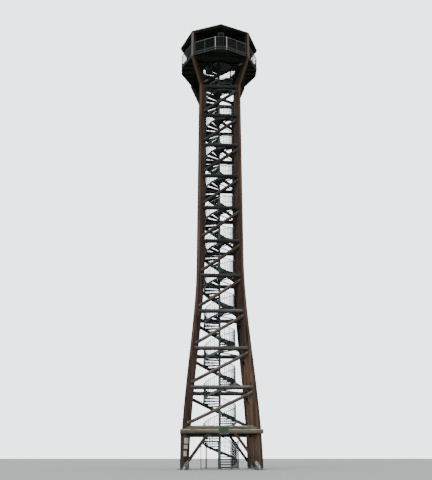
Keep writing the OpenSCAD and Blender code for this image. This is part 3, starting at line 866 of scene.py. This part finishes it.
class TOWER_OT_finishes(TowerOperator):
    """Timber, steel, roof and paint finishes for the frame's nodes"""
    bl_idname = "tower.finishes"
    bl_label = "Finishes"

    def build(self, sizes, colours):
        timber_group()
        zinc_group()
        c = colours
        light, dark, grey = c.timber_light, c.timber_dark, c.timber_grey
        base, pale = c.base_grey, c.beam_grey
        FINISH.update(
            leg=leg_timber(light, dark, grey, c.timber_lit_warm, c.post_grey),
            knee=timber("Knee brace timber", grain_upright, light, dark, grey, 0.5),
            ring=beam_timber("Ring beam timber", scaled(pale, 0.55), scaled(pale, 0.3),
                             scaled(pale, 1.6), 0.15, from_z=-BEAM_H, pitch=STAGE, height=BEAM_H,
                             soil_and_shade=0.95),
            base_outer=beam_timber("Outer beam timber", base, grey, base, 0.7, from_z=OUTER_UNDER,
                                   pitch=0, height=OUTER_TOP - OUTER_UNDER, soil_and_shade=0.5),
            # Soil and painted shadow under the outer beams darken the lower part of the base ring
            base_upper=beam_timber("Base ring timber", base, grey, base, 0.8, from_z=STAGE - BASE_H,
                                   pitch=0, height=0.7, soil_and_shade=1.0),
            # Painted shade: the deck's frame and the eave timbers take the dark colours of the shaded
            # undersides
            head_beam=timber("Deck timber", grain_level, c.deck_under_shaded, c.roof_under_shaded, grey, 0.06, 0.08),
            eave_timber=timber("Eave timber", grain_level, c.deck_under_shaded, c.roof_under_shaded, grey, 0.0, 0.05),
            deck=deck_timber(grey, c.deck_dark, base, c.deck_under_shaded),
            zinc=zinc("Galvanised steel", c.zinc_light, c.zinc_dark, 0.35, metallic=0.45, fade=0.75),
            post=zinc("Stair post steel", c.stair_post),
            rail=zinc("Stair rail steel", c.stair_rail, c.rail_dark, 0.2),
            tread=tread_plate(c.zinc_light, c.zinc_dark, c.tread_under_shaded),
            cage=zinc("Cage mesh wire", c.cage_mesh),
            hatch=zinc("Hatch steel", c.hatch),
            mesh=zinc("Guard mesh wire", c.guard_mesh, stain=0.2, metallic=0.45),
            guard=guard_zinc("Guard frame steel", c.soiled, c.zinc_dark, scaled(c.bright, 0.22)),
            corner_guard=guard_zinc("Corner guard steel", c.soiled, c.zinc_dark, c.bright, posts=True),
            edge=zinc("Toe board steel", c.soiled, c.zinc_dark, 0.4),
            fitting=zinc("Weathered fittings", c.fitting, stain=0.4, fade=1.0),
            bright=zinc("Bright galvanised steel", c.bright, c.zinc_light, 0.25, metallic=0.3),
            flashing=zinc("Folded flashing", c.bright, c.zinc_light, 0.2, metallic=0.4),
            roof=roof_finish(c.roof_top, c.roof_under_shaded),
            roof_trim=painted("Roof trim", c.roof_top, 0.2),
            board=painted("Blank board paint", c.board, 0.3),
            locker=painted("Locker paint", c.locker, 0.3, rough=0.7, gloss=0.05),
            plate=painted("Blank plate enamel", c.plate, 0.45, rough=0.35))
        for axis, along_y in (("x", False), ("y", True)):
            for end, sign in (("", 1), ("_back", -1)):
                FINISH["diagonal_" + axis + end] = diagonal_timber(
                    "Diagonal timber " + axis + end, sign, along_y, grey, light, scaled(pale, 1.3))
        for name, nodes in NODE_FINISH.items():
            for node in nodes.split():
                for s in NODES[node].material_slots:
                    s.material = FINISH[name]


class TOWER_OT_deck(TowerOperator):
    """Separate deck boards, cut round the hatch and the legs"""
    bl_idname = "tower.deck"
    bl_label = "Deck boards"

    def build(self, sizes, colours):
        pitch, half = sizes.board_w + sizes.board_gap, sizes.board_w / 2
        count = int(SHORT_Y / pitch) + 1
        model = block((-DECK_R, -half, DECK_Z - DECK_T), (DECK_R, half, DECK_Z), 0.004)
        boards = copies(model, [shift(0, pitch * i, 0) for i in range(-count, count + 1)])
        planes = []
        for a in FACE_ANGLES:
            for side, far in ((-LONG_TURN, LONG_DIST), (0, SHORT_Y), (LONG_TURN, LONG_DIST)):
                normal = turn(a + degrees(side)) @ Vector(RIGHT)
                planes.append((normal * (far - GUARD_T), normal))
        slice_off(boards, planes)
        hole = rod(HATCH_R + HATCH_WALL + 0.001, 0.2, 128)
        hole.location = (0, 0, DECK_Z - 0.12)
        cut_with(boards, hole)
        for a in LEG_ANGLES:
            post = block((HEAD_R - POST_D, -LEG_T / 2, -0.2), (HEAD_R + 0.1, LEG_T / 2, 0.2))
            post.data.transform(shift(0, 0, DECK_Z) @ turn(a))
            cut_with(boards, post)
        clean(boards)
        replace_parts(dress(boards, "deck_board_strips", "deck"), "deck_boards")


class TOWER_OT_treads(TowerOperator):
    """Folded chequer-plate treads in place of the plain ones"""
    bl_idname = "tower.treads"
    bl_label = "Treads"

    def build(self, sizes, colours):
        half, lap, gap = TREAD_R * tan(STEP / 2), 0.012, 0.001
        wall, top = 0.006, 0.005
        for part, first, last in (("lower", 1, MIDDLE_TREAD), ("upper", MIDDLE_TREAD + 1, LAST_TREAD)):
            tray = block((0.06, -0.07, -sizes.tray_h), (TREAD_R, 0.07, 0))
            bpy.ops.object.mode_set(mode="EDIT")
            mesh = bmesh.from_edit_mesh(tray.data)
            for v in mesh.verts:
                if v.co.x > 1:
                    v.co.y = (-half - lap) if v.co.y < 0 else half - gap
                else:
                    v.co.y *= 1.12
            for f in mesh.faces:
                f.select_set(f.normal.z < -0.9)
            bmesh.update_edit_mesh(tray.data)
            bpy.ops.mesh.inset(thickness=wall)
            rise = {"value": (0, 0, sizes.tray_h - top)}
            bpy.ops.mesh.extrude_region_move(TRANSFORM_OT_translate=rise)
            leave_edit()
            core = rod(NEWEL_R, 0.2, 32)
            core.location = (0, 0, -0.1)
            cut_with(tray, core)
            clean(tray)
            places = [step_place(n) for n in range(first, last + 1)]
            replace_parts(dress(copies(tray, places), "tread_trays_" + part, "tread"), "treads_" + part)


class TOWER_OT_rails(TowerOperator):
    """Round handrail, middle rail, flat balusters and every second post's sleeve"""
    bl_idname = "tower.rails"
    bl_label = "Stair rails"

    def build(self, sizes, colours):
        r, post_top, middle = TREAD_R - RAIL_INSET - RAIL_T / 2, RAIL_H - RAIL_T, RAIL_H / 2
        half_w, half_t = sizes.baluster_w / 2, sizes.baluster_t / 2
        half_step = r * tan(STEP / 2)
        balusters, rails, middles, sleeves = [], [], [], []
        for n in range(1, LAST_TREAD + 1):
            step = step_place(n)
            if n % 2:
                sleeves.append(step @ span((r, 0, 0.012), (r, 0, post_top)))
            for part in (-1 / 3, 1 / 3):
                foot = Vector((r * cos(part * STEP), r * sin(part * STEP), 0))
                balusters.append(step @ span(foot, foot + UP * (post_top + RISER * part)))
            for places, z in ((rails, RAIL_H - RAIL_T / 2), (middles, middle)):
                low, high = z - RISER / 2, z + RISER / 2
                places.append(step @ span((r, -half_step, low), (r, half_step, high)))
        flat = block((-half_w, -half_t, 0), (half_w, half_t, 1))
        for model, places, name, finish in (
                (rod(sizes.sleeve_d / 2, 1, 12), sleeves, "stair_post_sleeves", "post"),
                (flat, balusters, "stair_balusters", "post"),
                (rod(sizes.handrail_d / 2, 1, 12), rails, "stair_handrail", "rail"),
                (rod(sizes.middle_rail_d / 2, 1, 8), middles, "stair_middle_rail", "rail")):
            dress(copies(model, places), name, finish)


def diagonal_ends(k):
    """Places of the plates at both ends of a stage's front diagonal."""
    low = STAGE * k + DIAG_DROP
    high = min(STAGE * (k + 1), DECK_UNDER) - BEAM_H - DIAG_DROP
    p = Vector((-face_half(low) - LEG_T / 2, -face_y(low), low))
    q = Vector((face_half(high) + LEG_T / 2, -face_y(high), high))
    along = (q - p).normalized()
    out = along.cross(UP).normalized()
    for end, way in ((p, along), (q, -along)):
        yield at(end + way * PLATE_ALONG + out * (DIAG_T / 2), along, out)


def ring_bolts(top):
    """Bolts at the ends of a front ring beam, and in the angles above and below it."""
    mid = top - BEAM_H / 2
    for side in (-1, 1):
        for z in (mid - BOLT_PAIR, mid + BOLT_PAIR):
            x = side * (face_half(mid) - 0.02)
            yield at((x, -face_y(mid) - BEAM_T / 2, z), RIGHT, FRONT)
    for side, foot, parts in ((-1, top - BEAM_H - ANGLE_H, (0.25, 0.62)), (1, top, (0.42, 0.8))):
        radial = Vector((side, -1, 0)).normalized()
        inward = Vector((-side, -1, 0)).normalized()
        for part in parts:
            z = foot + ANGLE_H * part
            spot = radial * (leg_r(z) - 0.3) + inward * (LEG_T / 2 + PLATE_T)
            yield at(spot + UP * z, UP, inward)


def base_bolts():
    """Bolts in the front outer beam, and in the shoes of the struts under it."""
    foot = Vector((OUTER_HALF - OUTER_T / 2 - LEG_T / sqrt(2), OUTER_T / 2 - OUTER_HALF, 0.14))
    slope = (Vector((0.91, foot.y, OUTER_UNDER)) - foot).normalized()
    for s in (-1, 1):
        for z in (OUTER_UNDER + 0.07, OUTER_TOP - 0.08):
            yield at((s * (OUTER_HALF - 0.42), -OUTER_HALF, z), UP, FRONT)
        flip = Vector((s, 1, 1))
        for along in (0.2, 0.34, 0.44):
            spot = (foot + slope * along + Vector((0, -0.055, 0))) * flip
            yield at(spot, slope * flip, FRONT)


def leg_bolts():
    """Bolts through a leg that lies along X, in its shoe, and in the newel's foot on its side."""
    for k in range(1, RINGS + 2):
        z = STAGE * (k + 1) - BEAM_H / 2 if k <= RINGS else DECK_UNDER - 0.2
        for y in (-BOLT_PAIR, BOLT_PAIR):
            yield at((leg_r(z), y, z), (0, 1, 0), RIGHT)
    centre = FOOT_R - LEG_D / 2
    for side in (-1, 1):
        for x in (-0.29, 0.29):
            yield at((centre + x, side * 0.29, PLATE_T), RIGHT, UP)
        for x in (-0.12, 0.12):
            for z in (0.26, 0.42):
                yield at((centre + x, side * (LEG_T / 2 + PLATE_T), z), UP, (0, side, 0))
    yield at((0.18, 0, 0.025), RIGHT, UP)


class TOWER_OT_bolts(TowerOperator):
    """Bolts with washers at every joint, and the steel plates at the diagonals' ends"""
    bl_idname = "tower.bolts"
    bl_label = "Bolts and plates"

    def build(self, sizes, colours):
        thick, bolts, plates = 0.006, [], []
        for m in map(turn, FACE_ANGLES):
            plates += [m @ place for k in range(1, RINGS + 2) for place in diagonal_ends(k)]
            bolts += [m @ place for k in range(1, RINGS + 1) for place in ring_bolts(STAGE * (k + 1))]
            bolts += [m @ place for place in base_bolts()]
        bolts += [m @ shift(x, 0, thick) for m in plates for x in (-PLATE_PAIR, PLATE_PAIR)]
        bolts += [turn(a) @ place for a in LEG_ANGLES for place in leg_bolts()]
        for m, y0, y1 in guard_sides():
            for y in (y0 + GUARD_T / 2, y1 - GUARD_T / 2):
                for z in (DECK_UNDER + 0.08, DECK_UNDER + 0.15):
                    bolts.append(m @ at((0, y, z), UP, RIGHT))
        head = rod(sizes.bolt_d * 0.87, 0.015, 6)
        head.data.transform(shift(0, 0, 0.005))
        washer = rod(sizes.bolt_d * 1.5, 0.005, 12)
        dress(copies(joined([head, washer]), bolts), "joint_bolts", "fitting")
        plate = bars([((-0.17, -0.075, 0), (0.17, 0.075, thick))])
        dress(copies(plate, plates), "diagonal_plates", "fitting")


class TOWER_OT_mesh(TowerOperator):
    """Wire mesh in the guards and in one panel of the cage"""
    bl_idname = "tower.mesh"
    bl_label = "Guard mesh"

    def build(self, sizes, colours):
        def grid(m, pitch, x, y0, y1, z0, z1):
            for i in range(1, int((y1 - y0) / pitch)):
                yield m @ span((x, y0 + i * pitch, z0), (x, y0 + i * pitch, z1))
            for i in range(1, int((z1 - z0) / pitch)):
                yield m @ span((x, y0, z0 + i * pitch), (x, y1, z0 + i * pitch))

        pitch, wire = sizes.mesh_pitch, sizes.mesh_wire / 2
        low, high = DECK_UNDER + GUARD_T, GUARD_TOP - GUARD_T
        guards = []
        for m, y0, y1 in guard_sides():
            guards += grid(m, pitch, -GUARD_T / 2, y0 + GUARD_T, y1 - GUARD_T, low, high)
        low = DECK_Z + GUARD_T
        d = HATCH_R + 0.015
        w = d * tan(SIDE) - 0.001
        inner, outer = NEWEL_R + 0.07, HATCH_R - 0.03
        hatch = [*grid(turn(-90), pitch, 0.005 + GUARD_T / 2, inner, outer, low, high)]
        for a in range(6):
            hatch += grid(octant(a), pitch, d + GUARD_T / 2, GUARD_T - w, w - GUARD_T, low, high)
        x, w = CAGE_R * cos(SIDE), CAGE_R * sin(SIDE) - 0.065
        cage = grid(octant(0), sizes.cage_pitch, x, -w, w, 0.1, 1.85)
        dress(copies(rod(wire, 1, 4), guards), "guard_mesh", "mesh")
        dress(copies(rod(wire, 1, 4), hatch), "hatch_mesh", "mesh")
        dress(copies(rod(sizes.cage_wire / 2, 1, 4), cage), "cage_mesh", "cage")


class TOWER_OT_roof(TowerOperator):
    """Standing seams on the roof's eight sheets"""
    bl_idname = "tower.roof"
    bl_label = "Roof seams"

    def build(self, sizes, colours):
        c, s = cos(ROOF_PITCH), sin(ROOF_PITCH)
        hip_gap, cap_r = 0.12, 0.34
        places = []
        count = int(ROOF_HALF / sizes.seam_pitch)
        for k in range(8):
            for i in range(-count, count + 1):
                y = i * sizes.seam_pitch
                start = max(abs(y) / tan(SIDE) + hip_gap, cap_r)
                z = EAVE_Z + (SIDE_DIST - start) * tan(ROOF_PITCH) + ROOF_T / c
                m = octant(k) @ at((start, y, z), (c, 0, -s), (s, 0, c))
                places.append(m @ Matrix.Diagonal(((ROOF_REACH - start) / c, 1, 1, 1)))
        model = bars([((0, -0.006, 0), (1, 0.006, sizes.seam_h))])
        dress(copies(model, places), "roof_seams", "roof_trim")


class TOWER_OT_trims(TowerOperator):
    """Metal caps, drip edges, frames of the blank boards and the locker's edges"""
    bl_idname = "tower.trims"
    bl_label = "Trims"

    def build(self, sizes, colours):
        self.cap_beams()
        self.edge_roof()
        self.edge_board()
        self.edge_locker()
        self.add_screws()

    def cap_beams(self):
        """Folded caps on the outer beams, broken where the blank board stands."""
        low, high = BOARD[0] - 0.02, BOARD[1] + 0.02
        face, top = -OUTER_HALF, OUTER_TOP + 0.004
        caps = []
        for k, a in enumerate(FACE_ANGLES):
            half = OUTER_HALF - OUTER_T * (k % 2)
            for x0, x1 in ((-half, low), (high, half)) if k == 0 else ((-half, half),):
                for y0, y1, z0 in ((face - 0.006, face + OUTER_T, OUTER_TOP),
                                   (face - 0.009, face - 0.003, OUTER_TOP - 0.045)):
                    o = block((x0, y0, z0), (x1, y1, top))
                    o.data.transform(turn(a))
                    caps.append(o)
        caps = joined(caps)
        for a in LEG_ANGLES:
            half = LEG_T / 2 + 0.002
            leg = block((2.9, -half, 2.5), (leg_r(OUTER_TOP) + 0.004, half, 2.75))
            leg.data.transform(turn(a))
            cut_with(caps, leg)
        clean(caps)
        dress(caps, "outer_beam_caps", "flashing")

    def edge_roof(self):
        """A folded drip edge along the eaves."""
        x, half, low, t = ROOF_REACH, ROOF_HALF, EAVE_Z - 0.06, 0.004
        drip = joined([block((x, -half, low), (x + t, half, EAVE_Z + 0.005)),
                       block((x - 0.03, -half, low), (x, half, low + t))])
        dress(copies(drip, [octant(k) for k in range(8)]), "eave_drip_edge", "edge")

    def edge_board(self):
        """A frame round the blank board."""
        low, high, under, over = BOARD
        w = 0.025
        rows = ((low, high, under, under + w), (low, high, over - w, over),
                (low, low + w, under, over), (high - w, high, under, over))
        dress(flat_bars(-OUTER_HALF - BOARD_T, rows), "name_board_frame", "zinc")

    def edge_locker(self):
        """Edges on the locker's front and lid."""
        y = GUARD_T + 0.02 - SHORT_Y
        low, half, w, top = DECK_Z, 0.25, 0.03, DECK_Z + 1.48
        sides = flat_bars(y, ((-half, w - half, low, top), (half - w, half, low, top),
                              (-half, half, top - 0.035, top)))
        lid = bars([((-half, y - 0.006, top), (half, y + 0.12, top + 0.006))])
        edges = joined([sides, lid])
        dress(edges, "locker_edges", "edge")

    def add_screws(self):
        """Screws in the blank board and in the blank plates."""
        low, high, under, over = BOARD
        spots = []
        for x in (low + 0.05, (low + high) / 2, high - 0.05):
            for z in (under + 0.06, over - 0.06):
                spots.append(at((x, -OUTER_HALF - BOARD_T, z), RIGHT, FRONT))
        inset = 0.025
        for z0, w, h in LEG_PLATES:
            edge = leg_r(z0) - 0.04
            for x in (edge - inset, edge - w + inset):
                for z in (z0 + inset, z0 + h - inset):
                    spots.append(turn(225) @ at((x, LEG_T / 2 + 0.004, z), RIGHT, (0, 1, 0)))
        dress(copies(rod(0.008, 0.006, 10), spots), "plate_screws", "bright")


class TOWER_PT_panel(bpy.types.Panel):
    bl_label = "Fire lookout tower"
    bl_idname = "TOWER_PT_panel"
    bl_space_type = "VIEW_3D"
    bl_region_type = "UI"
    bl_category = "Tower"

    def draw(self, context):
        for op in OPERATORS:
            self.layout.operator(op.bl_idname)
        for group in (context.scene.tower_sizes, context.scene.tower_colours):
            for key in group.__annotations__:
                self.layout.prop(group, key)


OPERATORS = (TOWER_OT_stage, TOWER_OT_finishes, TOWER_OT_deck, TOWER_OT_treads, TOWER_OT_rails,
             TOWER_OT_bolts, TOWER_OT_mesh, TOWER_OT_roof, TOWER_OT_trims)
CLASSES = (TowerSizes, TowerColours) + OPERATORS + (TOWER_PT_panel,)


def register():
    for c in CLASSES:
        bpy.utils.register_class(c)
    bpy.types.Scene.tower_sizes = PointerProperty(type=TowerSizes)
    bpy.types.Scene.tower_colours = PointerProperty(type=TowerColours)


def unregister():
    del bpy.types.Scene.tower_colours
    del bpy.types.Scene.tower_sizes
    for c in reversed(CLASSES):
        bpy.utils.unregister_class(c)


def main():
    register()
    for op in OPERATORS:
        area, name = op.bl_idname.split(".")
        getattr(getattr(bpy.ops, area), name)()


if __name__ == "__main__":
    main()
